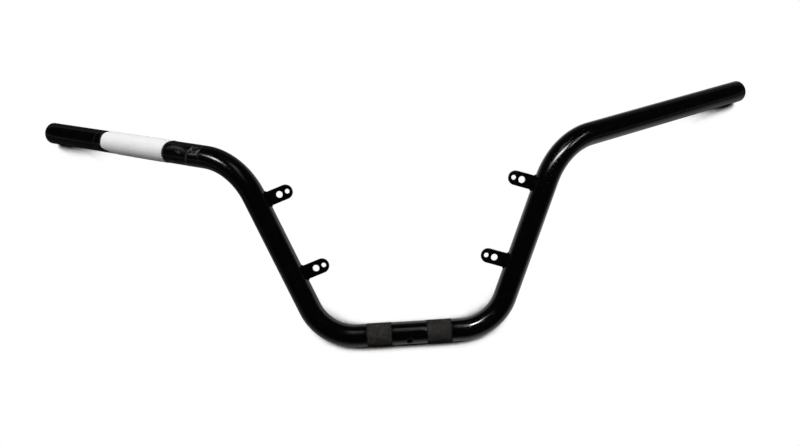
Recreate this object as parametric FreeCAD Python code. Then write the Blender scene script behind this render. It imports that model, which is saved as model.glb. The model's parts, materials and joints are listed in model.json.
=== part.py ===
import FreeCAD, Part
import math
import os
from FreeCAD import Placement, Rotation, Vector

# Quad bike handlebar: one bent steel tube, four welded strip tabs, and a paper slip taped to the left grip.
# It is bent and welded in its own bench frame: X along the clamp section, Y up the legs, Z off the leg plane.
# At the end the whole bar is tipped so that it lies at rest on the clamp section and the two grip ends.

# Tube section
tube_radius = 11.1
tube_wall = 2.0
end_chamfer = 0.6

# Bend schedule of one half, from the middle of the clamp section outwards
clamp_straight = 99.0
lower_bend_angle = 68.0
lower_bend_radius = 48.0
leg_straight = 119.0
upper_bend_angle = 60.5
upper_bend_radius = 62.5
upper_bend_roll = 29.0
grip_straight = 207.5

# Two rolled clamp bands and the drilled hole between them
band_spacing = 57.6
band_width = 24.0
band_height = 0.3
band_bevel = 0.3
hole_diameter = 6.0
hole_turn = 33.0

# Strip tabs on the legs: length out from the tube's wall, holes from the rounded tip, places from the leg's two ends
tab_width = 14.0
tab_thickness = 3.0
tab_length = 24.6
tab_big_hole = 6.4
tab_small_hole = 4.5
tab_hole_setback = 5.1
tab_hole_pitch = 8.0
tab_edge_break = 0.4
tab_lean = 3.0
lower_tab_station = 33.9
upper_tab_setback = 6.9
weld_leg = 1.5
weld_edge = 0.3

# Paper slip and clear tape on the left grip: the slip from the grip's inner end, the tapes from the slip's two edges
label_setback = 44.5
label_length = 82.0
label_thickness = 0.2
label_gap = 0.15
label_front_angle = 130.0
label_back_angle = 115.0
corner_angle = 57.0
corner_length = 20.4
corner_turn = 55.0
tape_width = 48.0
tape_thickness = 0.1
tape_gap = 0.1
outboard_tape_overhang = 10.0
inboard_tape_lap = 4.0

# Values worked out from the ones above
bore_radius = tube_radius - tube_wall
band_radius = tube_radius + band_height
tab_reach = tube_radius + tab_length
tab_small_hole_reach = tab_reach - tab_hole_setback
tab_big_hole_reach = tab_small_hole_reach - tab_hole_pitch
upper_tab_station = leg_straight - upper_tab_setback
label_end = grip_straight - label_setback
label_start = label_end - label_length
outboard_tape_start = label_start - outboard_tape_overhang
inboard_tape_start = label_end - inboard_tape_lap
label_inside = tube_radius + label_gap
label_outside = label_inside + label_thickness
tape_inside = label_outside + tape_gap
tape_outside = tape_inside + tape_thickness

ORIGIN = Vector(0, 0, 0)
ALONG_BAR = Vector(1, 0, 0)
UP_LEG = Vector(0, 1, 0)
OFF_PLANE = Vector(0, 0, 1)


def turned_direction(heading, toward, degrees):
    """The heading after it has turned towards a square direction by an angle."""
    angle = math.radians(degrees)
    return heading * math.cos(angle) + toward * math.sin(angle)


def half_route():
    """Start, heading and turn direction of each run and bend of the right half, in order."""
    route = {}
    heading = ALONG_BAR
    point = heading * (clamp_straight / 2)
    route["lower_bend"] = (point, heading, UP_LEG)
    point = point + UP_LEG * lower_bend_radius
    inward = turned_direction(UP_LEG, -heading, lower_bend_angle)
    heading = turned_direction(heading, UP_LEG, lower_bend_angle)
    point = point - inward * lower_bend_radius
    route["leg"] = (point, heading, inward)
    point = point + heading * leg_straight
    toward = turned_direction(-inward, -OFF_PLANE, upper_bend_roll)
    route["upper_bend"] = (point, heading, toward)
    point = point + toward * upper_bend_radius
    outside = turned_direction(toward, -heading, upper_bend_angle)
    heading = turned_direction(heading, toward, upper_bend_angle)
    point = point - outside * upper_bend_radius
    route["grip"] = (point, heading, outside)
    route["end"] = (point + heading * grip_straight, heading, outside)
    return route


def mirrored(vector):
    """The same place or direction on the left half."""
    return Vector(-vector.x, vector.y, vector.z)


def rest_tilt(end, heading):
    """Tip about the clamp section that brings the lowest points of bands and grip ends level."""
    reach = math.hypot(end.y, end.z)
    tilt = 0.0
    for _ in range(12):
        fall = heading.y * math.sin(tilt) + heading.z * math.cos(tilt)
        height = tube_radius * math.sqrt(1 - fall * fall) - band_radius
        tilt = math.atan2(-end.z, end.y) + math.asin(height / reach)
    return math.degrees(tilt)


def lathe(profile, base, heading, first, sweep=360.0):
    """Solid turned about a heading from (distance along, radius) points, starting at direction first."""
    corners = [Vector(radius, 0, along) for along, radius in profile]
    face = Part.Face(Part.makePolygon(corners + corners[:1]))
    solid = face.revolve(ORIGIN, OFF_PLANE, sweep)
    solid.Placement = Placement(base, Rotation(first, heading.cross(first), heading, "ZXY"))
    return solid


def bent_tube(start, heading, toward, radius, degrees):
    """Hollow bend: the tube's ring section swung about the bend's centre."""
    outer = Part.Face(Part.Wire(Part.makeCircle(tube_radius, start, heading)))
    inner = Part.Face(Part.Wire(Part.makeCircle(bore_radius, start, heading)))
    centre = start + toward * radius
    return outer.cut(inner).revolve(centre, heading.cross(toward), degrees)


def clamp_section():
    """Straight middle run with the two raised clamp bands, turned in one profile."""
    profile = [(-clamp_straight / 2, bore_radius), (-clamp_straight / 2, tube_radius)]
    for side in (-1, 1):
        low = side * band_spacing / 2 - band_width / 2
        high = low + band_width
        profile += [(low, tube_radius), (low + band_bevel, band_radius)]
        profile += [(high - band_bevel, band_radius), (high, tube_radius)]
    profile += [(clamp_straight / 2, tube_radius), (clamp_straight / 2, bore_radius)]
    return lathe(profile, ORIGIN, ALONG_BAR, OFF_PLANE)


def half_tube(route):
    """Lower bend, leg, upper bend and grip of the right half."""
    grip_profile = [
        (0, bore_radius),
        (0, tube_radius),
        (grip_straight - end_chamfer, tube_radius),
        (grip_straight, tube_radius - end_chamfer),
        (grip_straight, bore_radius),
    ]
    leg_profile = [(0, bore_radius), (0, tube_radius), (leg_straight, tube_radius), (leg_straight, bore_radius)]
    return [
        bent_tube(*route["lower_bend"], lower_bend_radius, lower_bend_angle),
        lathe(leg_profile, *route["leg"]),
        bent_tube(*route["upper_bend"], upper_bend_radius, upper_bend_angle),
        lathe(grip_profile, *route["grip"]),
    ]


def handlebar_tube(route):
    """Whole bent tube with the hole drilled through the front wall of the clamp section."""
    right = half_tube(route)
    left = [run.mirror(ORIGIN, ALONG_BAR) for run in right]
    tube = clamp_section().fuse(right + left)
    facing = turned_direction(OFF_PLANE, -UP_LEG, hole_turn)
    drill = Part.makeCylinder(hole_diameter / 2, band_radius, ORIGIN, facing)
    return tube.cut(drill)


def rounded_rectangle(width, height, radius, along):
    """Closed outline of a rounded rectangle across the X axis, at a distance along it."""
    half_width = width / 2 - radius
    half_height = height / 2 - radius
    corners = [(half_width, half_height), (-half_width, half_height)]
    corners += [(-half_width, -half_height), (half_width, -half_height)]
    edges = []
    for index, (y, z) in enumerate(corners):
        next_y, next_z = corners[(index + 1) % 4]
        start = math.pi / 2 * index
        first, middle, last = [
            Vector(along, y + radius * math.cos(angle), z + radius * math.sin(angle))
            for angle in (start, start + math.pi / 4, start + math.pi / 2)
        ]
        edges.append(Part.Arc(first, middle, last).toShape())
        turn = start + math.pi / 2
        following = Vector(along, next_y + radius * math.cos(turn), next_z + radius * math.sin(turn))
        edges.append(Part.LineSegment(last, following).toShape())
    return Part.Wire(edges)


def plain_tab():
    """Strip with a full-radius outer end and broken edges, before its root is shaped and its holes punched."""
    half = tab_width / 2
    root = tube_radius - tab_thickness
    low = -tab_thickness / 2
    straight = tab_reach - half
    outline = [
        Part.LineSegment(Vector(root, half, low), Vector(root, -half, low)).toShape(),
        Part.LineSegment(Vector(root, -half, low), Vector(straight, -half, low)).toShape(),
        Part.Arc(Vector(straight, -half, low), Vector(tab_reach, 0, low), Vector(straight, half, low)).toShape(),
        Part.LineSegment(Vector(straight, half, low), Vector(root, half, low)).toShape(),
    ]
    strip = Part.Face(Part.Wire(outline)).extrude(OFF_PLANE * tab_thickness)
    rims = [
        edge
        for edge in strip.Edges
        if edge.CenterOfMass.x > root + tab_edge_break
        and abs(abs(edge.CenterOfMass.z) - tab_thickness / 2) < 1e-6
    ]
    return strip.makeChamfer(tab_edge_break, rims)


def tab_and_weld():
    """One tab with its root shaped to the tube, and the bead of weld round that root, on a leg along Y."""
    leg = Part.makeCylinder(tube_radius, 4 * tab_width, UP_LEG * (-2 * tab_width), UP_LEG)
    leg.rotate(ORIGIN, OFF_PLANE, -tab_lean)
    strip = plain_tab().cut(leg)
    punches = []
    for reach, diameter in ((tab_big_hole_reach, tab_big_hole), (tab_small_hole_reach, tab_small_hole)):
        base = Vector(reach, 0, -tab_thickness)
        punches.append(Part.makeCylinder(diameter / 2, 2 * tab_thickness, base))
    tab = strip.cut(punches)
    toe_height = tab_thickness / 2 + weld_leg
    toe = math.sqrt(tube_radius ** 2 - toe_height ** 2)
    foot = rounded_rectangle(tab_width + 2 * weld_leg, 2 * toe_height, weld_leg, toe)
    crest = rounded_rectangle(
        tab_width + 2 * weld_edge, tab_thickness + 2 * weld_edge, weld_edge, tube_radius + weld_leg
    )
    weld = Part.makeLoft([foot, crest], True, True).cut([strip, leg])
    return tab, weld


def tabs_and_welds(route):
    """The four tabs and their weld beads, by node name."""
    start, heading, inward = route["leg"]
    nodes = {}
    for level, station in (("lower", lower_tab_station), ("upper", upper_tab_station)):
        for piece, shape in zip(("tab", "weld"), tab_and_weld()):
            shape.rotate(ORIGIN, OFF_PLANE, tab_lean)
            place = Placement(start + heading * station, Rotation(inward, -heading, OFF_PLANE, "ZXY"))
            shape.Placement = place.multiply(shape.Placement)
            nodes[f"{level}_right_{piece}"] = shape
            nodes[f"{level}_left_{piece}"] = shape.mirror(ORIGIN, ALONG_BAR)
    return nodes


def grip_ring(end, inward, top, start, length, inside, outside):
    """Closed sleeve round the left grip."""
    profile = [(0, inside), (0, outside), (length, outside), (length, inside)]
    return lathe(profile, end + inward * start, inward, top)


def paper_label(end, inward, top):
    """Slip of paper wrapped part way round the left grip, with its outboard front corner cut off aslant."""
    profile = [(0, label_inside), (0, label_outside), (label_length, label_outside), (label_length, label_inside)]
    base = end + inward * label_start
    front = inward.cross(top)
    edge = turned_direction(top, -front, label_back_angle)
    slip = lathe(profile, base, inward, edge, label_front_angle + label_back_angle)
    first = base + turned_direction(top, front, corner_angle) * label_outside
    last = base + inward * corner_length
    last = last + turned_direction(top, front, corner_angle + corner_turn) * label_outside
    chord = (last - first).normalize()
    radial = turned_direction(top, front, corner_angle + corner_turn / 2)
    reach = 2 * label_length
    knife = Part.makeBox(reach, label_inside, reach, Vector(-reach / 2, -label_inside / 2, 0))
    outward = chord.cross(radial)
    outward = outward if outward.dot(inward) < 0 else -outward
    knife.Placement = Placement((first + last) * 0.5, Rotation(chord, outward.cross(chord), outward, "ZXY"))
    return slip.cut(knife)


def wrappings(route, tilt):
    """Paper slip and two bands of clear tape on the left grip."""
    end, heading, _ = route["end"]
    end = mirrored(end)
    inward = -mirrored(heading)
    upright = turned_direction(OFF_PLANE, UP_LEG, tilt)
    top = (upright - inward * upright.dot(inward)).normalize()
    nodes = {"paper_label": paper_label(end, inward, top)}
    for name, start in (("outboard_tape", outboard_tape_start), ("inboard_tape", inboard_tape_start)):
        nodes[name] = grip_ring(end, inward, top, start, tape_width, tape_inside, tape_outside)
    return nodes


def lie_at_rest(nodes, tilt):
    """Tips every piece to the rest position, with the origin under the middle of the whole bar's box."""
    tip = Placement(ORIGIN, Rotation(ALONG_BAR, tilt))
    for shape in nodes.values():
        shape.Placement = tip.multiply(shape.Placement)
    box = nodes["handlebar_tube"].optimalBoundingBox(False, False)
    shift = Placement(Vector(0, -box.Center.y, -box.ZMin), Rotation())
    for shape in nodes.values():
        shape.Placement = shift.multiply(shape.Placement)


def main():
    route = half_route()
    end, heading, _ = route["end"]
    tilt = rest_tilt(end, heading)
    nodes = {"handlebar_tube": handlebar_tube(route)}
    nodes.update(tabs_and_welds(route))
    nodes.update(wrappings(route, tilt))
    lie_at_rest(nodes, tilt)
    os.makedirs("parts", exist_ok=True)
    for name, shape in nodes.items():
        if not shape.isValid() or len(shape.Solids) != 1:
            raise RuntimeError(f"{name} is not one sound solid")
        shape.exportStep(f"parts/{name}.step")
        box = shape.optimalBoundingBox(False, False)
        print(name, round(shape.Volume, 1), [round(v, 2) for v in (box.XMin, box.YMin, box.ZMin)],
              [round(v, 2) for v in (box.XMax, box.YMax, box.ZMax)])
    print("rest tilt", round(tilt, 3))


main()
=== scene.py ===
import json
import math

import bmesh
import bpy
import numpy as np
from mathutils import Matrix, Quaternion, Vector


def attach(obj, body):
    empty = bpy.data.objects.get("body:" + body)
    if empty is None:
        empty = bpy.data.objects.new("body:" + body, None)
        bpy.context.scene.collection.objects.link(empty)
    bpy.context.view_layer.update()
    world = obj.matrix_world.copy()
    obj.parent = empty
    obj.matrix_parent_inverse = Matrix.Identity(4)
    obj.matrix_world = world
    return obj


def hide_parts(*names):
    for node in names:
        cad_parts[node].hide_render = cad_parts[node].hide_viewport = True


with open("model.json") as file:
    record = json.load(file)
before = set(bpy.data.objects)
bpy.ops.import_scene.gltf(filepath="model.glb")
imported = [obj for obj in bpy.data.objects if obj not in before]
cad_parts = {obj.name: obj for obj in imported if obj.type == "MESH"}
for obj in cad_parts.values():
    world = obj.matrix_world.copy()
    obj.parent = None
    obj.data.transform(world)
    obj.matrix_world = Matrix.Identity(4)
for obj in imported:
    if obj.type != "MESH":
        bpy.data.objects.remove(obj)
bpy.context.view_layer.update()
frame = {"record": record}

bl_info = {
    "name": "Quad Bike Handlebar",
    "version": (1, 0, 0),
    "blender": (4, 5, 0),
    "location": "3D View > Sidebar > Handlebar",
    "description": "Builds the looks of a bent handlebar tube with knurled bands, welded tabs and a taped paper slip",
    "category": "Add Mesh",
}

# The imported part: the mounts that the sizes and places below come from
MOUNTS = {mount["name"]: mount for mount in frame["record"]["mounts"]}
MM = 0.001
ALONG_BAR = np.array([1.0, 0.0, 0.0])
LEFT_TO_RIGHT = np.array([-1.0, 1.0, 1.0])
TAB_PLACES = [(level, side) for level in ("lower", "upper") for side in ("left", "right")]
FULL_TURN = 2 * math.pi
QUARTER_ROUND = np.linspace(0, math.pi / 2, 5)


def mount_size(name, key):
    """A size of a mount in metres."""
    return MOUNTS[name]["dims"][key] * MM


def mount_place(name):
    """The place of a mount."""
    return np.array(MOUNTS[name]["pos_m"], float)


def mount_axis(name):
    """The unit axis of a mount."""
    axis = np.array(MOUNTS[name]["axis"], float)
    return axis / np.linalg.norm(axis)


# The leg plane and the middle of the clamp section, as the bar lies at rest
CLAMP_MIDDLE = (mount_place("left_clamp_band") + mount_place("right_clamp_band")) / 2
OFF_PLANE = mount_axis("lower_right_tab_big_hole")
UP_LEG = np.cross(OFF_PLANE, ALONG_BAR)
BAND_SPACING = mount_place("right_clamp_band")[0] - mount_place("left_clamp_band")[0]


def length(name, description, default):
    """A size in metres that a user may change."""
    return bpy.props.FloatProperty(
        name=name, description=description, default=default, min=0.0, precision=5, unit="LENGTH"
    )


def turn(name, description, degrees):
    """An angle that a user may change."""
    return bpy.props.FloatProperty(
        name=name, description=description, default=math.radians(degrees), subtype="ANGLE", unit="ROTATION"
    )


def colour(name, description, default):
    """A linear colour that a user may change."""
    return bpy.props.FloatVectorProperty(
        name=name, description=description, default=default, min=0.0, max=1.0, size=3, subtype="COLOR"
    )


def point(name, description, default):
    """A place that a user may change."""
    return bpy.props.FloatVectorProperty(
        name=name, description=description, default=default, subtype="XYZ", unit="LENGTH"
    )


class TubeSizes(bpy.types.PropertyGroup):
    """Section and bend schedule of the handlebar tube."""

    radius: length("Tube radius", "Outside radius of the tube", mount_size("right_grip", "r_mm"))
    wall: length("Wall", "Thickness of the tube's wall", 0.002)
    end_round: length("End rounding", "Break of the outer edge at both ends", 0.0006)
    clamp_straight: length("Clamp straight", "Straight run in the middle", 0.099)
    lower_bend: turn("Lower bend", "Angle of each lower bend", 68.0)
    lower_radius: length("Lower bend radius", "Centre line radius of each lower bend", 0.048)
    leg_straight: length("Leg straight", "Straight run of each leg", 0.119)
    upper_bend: turn("Upper bend", "Angle of each upper bend", 60.5)
    upper_radius: length("Upper bend radius", "Centre line radius of each upper bend", 0.0625)
    upper_roll: turn("Upper bend roll", "Turn of the upper bend out of the leg plane", 29.0)
    grip_straight: length("Grip straight", "Straight run of each grip", 0.2075)
    band_radius: length("Band radius", "Radius over the knurl", mount_size("left_clamp_band", "r_mm"))
    band_length: length("Knurl length", "Length of each band's knurl", mount_size("left_clamp_band", "length_mm"))
    band_bevel: length("Band bevel", "Run-out at each end of a band", 0.0003)
    knurl_depth: length("Knurl depth", "Depth of the knurl's grooves", 0.00038)
    hole_radius: length("Hole radius", "Radius of the drilled hole", 0.003)
    hole_turn: turn("Hole turn", "Turn of the drilled hole from the leg plane's normal", 33.0)
    hole_rim: length("Hole rim", "Rounding of the drilled hole's edge", 0.0008)


class TabSizes(bpy.types.PropertyGroup):
    """Strip tabs and their weld beads."""

    width: length("Tab width", "Width of a tab", 0.014)
    thickness: length("Tab thickness", "Thickness of a tab", mount_size("lower_left_tab_big_hole", "length_mm"))
    reach: length("Tab reach", "From the tube's axis to the rounded tip", 0.0357)
    big_hole: length("Big hole", "Radius of the inner hole", mount_size("lower_left_tab_big_hole", "r_mm"))
    small_hole: length("Small hole", "Radius of the outer hole", mount_size("lower_left_tab_small_hole", "r_mm"))
    big_reach: length("Big hole reach", "From the tube's axis to the inner hole", 0.0226)
    small_reach: length("Small hole reach", "From the tube's axis to the outer hole", 0.0306)
    edge_round: length("Edge rounding", "Rounding of the tab's outer edges", 0.0004)
    hole_round: length("Hole rounding", "Rounding of the holes' edges", 0.00025)
    lean: turn("Lean", "Lean of the tab from square to the leg", 3.0)
    weld_leg: length("Weld leg", "Reach of the weld bead from the corner", 0.0014)
    weld_ripple: length("Weld ripple", "Distance between ripples in the bead", 0.0012)


class WrapSizes(bpy.types.PropertyGroup):
    """Paper slip and clear tape on the left grip."""

    slip_start: length("Slip start", "From the grip's end to the slip", 0.081)
    slip_length: length("Slip length", "Length of the slip along the grip", 0.082)
    slip_front: turn("Slip front", "Turn from the top to the slip's front edge", 130.0)
    slip_back: turn("Slip back", "Turn from the top to the slip's back edge", 115.0)
    corner_turn: turn("Corner turn", "Turn from the top to where the slanted corner starts", 57.0)
    corner_slope: length("Corner slope", "Run of the slanted corner along the grip for a full radian", 0.02125)
    slip_gap: length("Slip gap", "Air between tube and slip", 0.00012)
    slip_thickness: length("Slip thickness", "Thickness of the slip", 0.00018)
    tape_width: length("Tape width", "Width of the clear tape", 0.048)
    outboard_start: length("Outboard tape", "From the grip's end to the outboard tape", 0.071)
    inboard_start: length("Inboard tape", "From the grip's end to the inboard tape", 0.159)
    tape_thickness: length("Tape thickness", "Thickness of the film", 0.00006)
    tape_gap: length("Tape gap", "Air under the film", 0.00006)


class Finishes(bpy.types.PropertyGroup):
    """Colours and surface values of the finishes."""

    paint: colour("Paint", "Gloss black paint", (0.0011, 0.0011, 0.0012))
    paint_roughness: bpy.props.FloatProperty(
        name="Paint roughness", description="Roughness of clean paint", default=0.16, min=0.0, max=1.0
    )
    # The knurl's dark groove colour is partly painted shade in the grooves
    knurl: colour("Knurl grooves", "Colour in the knurl's grooves", (0.0015, 0.0015, 0.0014))
    knurl_peak: colour("Knurl peaks", "Colour on the knurl's worn peaks", (0.25, 0.238, 0.218))
    dust: colour("Dust", "Colour of dust on the paint", (0.16, 0.15, 0.14))
    steel: colour("Bare steel", "Colour of bare steel", (0.38, 0.37, 0.36))
    bore: colour("Bore", "Colour of the oiled bore", (0.055, 0.050, 0.045))
    paper: colour("Paper", "Colour of the paper", (0.95, 0.94, 0.945))
    # The tape's white shows where the film is milky, partly as painted glints
    tape: colour("Tape", "Colour of the clear tape", (0.80, 0.80, 0.78))


class StageSettings(bpy.types.PropertyGroup):
    """Camera and floor."""

    eye: point("Eye", "Place of the camera", (-0.00336, -0.23603, 0.68387))
    target: point("Target", "Point on the floor that the camera looks at", (-0.00254, -0.00269, 0.0))
    roll: turn("Roll", "Turn of the camera about its line of sight", -3.33)
    lens: bpy.props.FloatProperty(
        name="Lens", description="Focal length on a 36 mm wide sensor", default=31.349, min=1.0, unit="CAMERA"
    )
    floor: colour("Floor", "Colour of the floor as the paint mirrors it", (0.95, 0.93, 0.91))
    floor_bounce: colour("Floor bounce", "Colour of the floor in the light it throws back", (0.30, 0.29, 0.28))
    floor_shade: colour("Floor shade", "Colour of the floor in the shadow by the bar", (0.085, 0.07, 0.06))


# Mesh building

DOUBLES = 1e-6


class Surface:
    """One piece as grids of points, gathered in turn and welded where their edges meet."""

    def __init__(self):
        self.points, self.lay, self.mask, self.faces, self.count = [], [], [], {3: [], 4: []}, 0

    def add(self, points, faces, lay, mask=0.0, finish=0):
        """Adds points of any array shape, with the faces that join them by number."""
        flat = np.asarray(points, float).reshape(-1, 3)
        self.points.append(flat)
        self.lay.append(np.asarray(lay, float).reshape(-1, 3))
        self.mask.append(np.broadcast_to(mask, np.shape(points)[:-1]).reshape(-1))
        self.faces[faces.shape[1]].append((faces + self.count, finish))
        self.count += len(flat)

    def grid(self, points, wrap=False, keep=None, **extra):
        """Adds a grid: each face joins two neighbours in a row with the same two in the next row."""
        rows, columns = points.shape[:2]
        row = np.arange(rows - 1)[:, None] * columns
        column = np.arange(columns if wrap else columns - 1)[None, :]
        after = (column + 1) % columns
        corners = (row + column, row + after, row + columns + after, row + columns + column)
        faces = np.stack(np.broadcast_arrays(*corners), -1)
        self.add(points, faces[keep] if keep is not None else faces.reshape(-1, 4), **extra)

    def build(self, name, materials, sharp):
        """Makes the object: doubles merged, faces turned outwards, smooth up to the sharp angle."""
        mesh = bpy.data.meshes.new(name)
        groups = self.faces[3] + self.faces[4]
        faces = [face for group, _ in groups for face in group.tolist()]
        mesh.from_pydata(np.concatenate(self.points).tolist(), [], faces)
        finishes = np.concatenate([np.full(len(group), finish, np.int32) for group, finish in groups])
        mesh.polygons.foreach_set("material_index", finishes)
        for label, kind, key, values in (
            ("lay", "FLOAT_VECTOR", "vector", self.lay), ("mask", "FLOAT", "value", self.mask)
        ):
            data = mesh.attributes.new(label, kind, "POINT").data
            data.foreach_set(key, np.concatenate(values).astype(np.float32).reshape(-1))
        work = bmesh.new()
        work.from_mesh(mesh)
        bmesh.ops.remove_doubles(work, verts=work.verts, dist=DOUBLES)
        bmesh.ops.recalc_face_normals(work, faces=work.faces)
        work.to_mesh(mesh)
        work.free()
        mesh.shade_smooth()
        mesh.set_sharp_from_angle(angle=math.radians(sharp))
        for material in materials:
            mesh.materials.append(material)
        piece = bpy.data.objects.new(name, mesh)
        bpy.context.scene.collection.objects.link(piece)
        return piece


def seat(piece, node):
    """Puts a finished piece on the part's one body, in place of its CAD node."""
    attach(piece, "root")
    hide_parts(node)


# The tube

AROUND = 120
STEP = FULL_TURN / AROUND
ANGLES = np.arange(AROUND) * STEP
KNURL_FINISH, BORE_FINISH = 1, 2
PER_TOOTH, TEETH_ALONG, GROOVE_HALF = 8, 10, 0.4
# Half length and half width in columns of the patch that holds the drilled hole, its rows, and the next ring
PATCH, PATCH_COLUMNS, PATCH_ROWS, PATCH_APRON = 0.007, 12, 17, 0.012
STRIP_ROWS = 7
# Break of the bore's edge, and the ring of the cut face next to it
BORE_BREAK, BORE_LIP = 0.0002, 0.0008


def carried_frames(tube, distance):
    """Centre, heading and the two section directions at distances from the middle of the clamp section.

    A straight run is start + heading d. A bend of radius r towards t is start + r (sin a heading + (1 - cos a) t) with
    a = d / r, and it turns heading and section directions by a. The left half is the right half mirrored in x.
    """
    far = np.abs(distance)[:, None]
    start, heading, up, toward = CLAMP_MIDDLE, ALONG_BAR, OFF_PLANE, UP_LEG
    centre, headings, ups = (np.zeros(far.shape[:1] + (3,)) for _ in range(3))
    runs = (
        (tube.clamp_straight / 2, None, 0.0),
        (tube.lower_bend * tube.lower_radius, tube.lower_radius, 0.0),
        (tube.leg_straight, None, math.pi + tube.upper_roll),
        (tube.upper_bend * tube.upper_radius, tube.upper_radius, 0.0),
        (tube.grip_straight, None, 0.0),
    )
    past = 0.0
    for run, radius, roll in runs:
        side = np.cross(heading, toward)
        share_toward, share_side = up @ toward, up @ side

        def at(step):
            if radius is None:
                flat = np.zeros_like(step)
                return start + step * heading, heading + flat, up + flat
            cos, sin = np.cos(step / radius), np.sin(step / radius)
            place = start + radius * (sin * heading + (1 - cos) * toward)
            turned = share_toward * (cos * toward - sin * heading) + share_side * side
            return place, cos * heading + sin * toward, turned

        here = far >= past
        found = at(np.clip(far - past, 0, run))
        centre, headings, ups = (np.where(here, new, old) for new, old in zip(found, (centre, headings, ups)))
        ends = at(np.array([[run]]))
        if radius is not None:
            angle = run / radius
            toward = math.cos(angle) * toward - math.sin(angle) * heading
        toward = math.cos(roll) * toward + math.sin(roll) * side
        start, heading, up = (value[0] for value in ends)
        past += run
    left = distance[:, None] < 0
    centre, ups = (np.where(left, value * LEFT_TO_RIGHT, value) for value in (centre, ups))
    headings = np.where(left, -headings * LEFT_TO_RIGHT, headings)
    return centre, headings, ups, np.cross(headings, ups)


def half_length(tube):
    """Length of half the centre line."""
    bends = tube.lower_bend * tube.lower_radius + tube.upper_bend * tube.upper_radius
    return tube.clamp_straight / 2 + bends + tube.leg_straight + tube.grip_straight


def pipe(tube, distance, angle, radius):
    """Points of a pipe and the same points on the unbent pipe.

    Point = centre(d) + radius (cos angle up + sin angle across). Unbent = (d, radius cos angle, radius sin angle).
    """
    centre, _, up, across = carried_frames(tube, distance)
    radius = np.broadcast_to(radius, (len(distance), len(angle)))
    high, wide = radius * np.cos(angle), radius * np.sin(angle)
    points = centre[:, None] + high[..., None] * up[:, None] + wide[..., None] * across[:, None]
    return points, np.stack([np.broadcast_to(distance[:, None], radius.shape), high, wide], -1)


def add_pipe(surface, tube, distance, angle, radius, **extra):
    """Adds a pipe to a surface as a grid closed round the tube; gives its points and its unbent points."""
    points, lay = pipe(tube, distance, angle, radius)
    surface.grid(points, wrap=True, lay=lay, **extra)
    return points, lay


def tube_rows(tube):
    """Distances of the section rings from the band's outer foot to the end rounding of the right half."""
    foot = BAND_SPACING / 2 + tube.band_length / 2 + tube.band_bevel
    marks, counts = [foot, tube.clamp_straight / 2], [2]
    for run, count in (
        (tube.lower_bend * tube.lower_radius, 28),
        (tube.leg_straight, 12),
        (tube.upper_bend * tube.upper_radius, 25),
        (tube.grip_straight - tube.end_round, 18),
    ):
        marks.append(marks[-1] + run)
        counts.append(count)
    rows = [np.linspace(a, b, n, endpoint=False) for a, b, n in zip(marks, marks[1:], counts)]
    return np.concatenate(rows + [marks[-1:]])


def two_to_one(count):
    """Triangles between a ring of points and a ring of twice as many that follows it."""
    coarse = np.arange(count)
    after = (coarse + 1) % count
    fine = count + 2 * coarse
    beyond = count + (2 * coarse + 2) % (2 * count)
    corners = ((coarse, fine + 1, fine), (coarse, after, fine + 1), (after, beyond, fine + 1))
    return np.concatenate([np.stack(three, 1) for three in corners])


def knurled_band(surface, tube, middle):
    """A band of diamond knurl and the two run-outs at its ends.

    Two sets of grooves cross at a and b = (column ± row) / 8 counted in teeth. The radius is the band's radius less
    the groove depth, which fades from full on a whole a or b to none at 0.4 of a tooth beside it.
    """
    column, row = np.arange(2 * AROUND), np.arange(PER_TOOTH * TEETH_ALONG + 1)[:, None]
    a, b = (column + row) / PER_TOOTH, (column - row) / PER_TOOTH
    beside = np.minimum(np.abs(a - np.round(a)), np.abs(b - np.round(b)))
    height = np.clip(beside / GROOVE_HALF, 0, 1)
    radius = tube.band_radius - tube.knurl_depth * (1 - height)
    distance = middle + np.linspace(-0.5, 0.5, len(row)) * tube.band_length
    points, lay = add_pipe(surface, tube, distance, column * STEP / 2, radius, mask=height, finish=KNURL_FINISH)
    for end, sign in ((0, -1), (-1, 1)):
        ring, ring_lay = pipe(tube, np.array([distance[end] + sign * tube.band_bevel]), ANGLES, tube.radius)
        both, both_lay = np.concatenate([ring[0], points[end]]), np.concatenate([ring_lay[0], lay[end]])
        surface.add(both, two_to_one(AROUND), lay=both_lay, finish=KNURL_FINISH)


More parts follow.
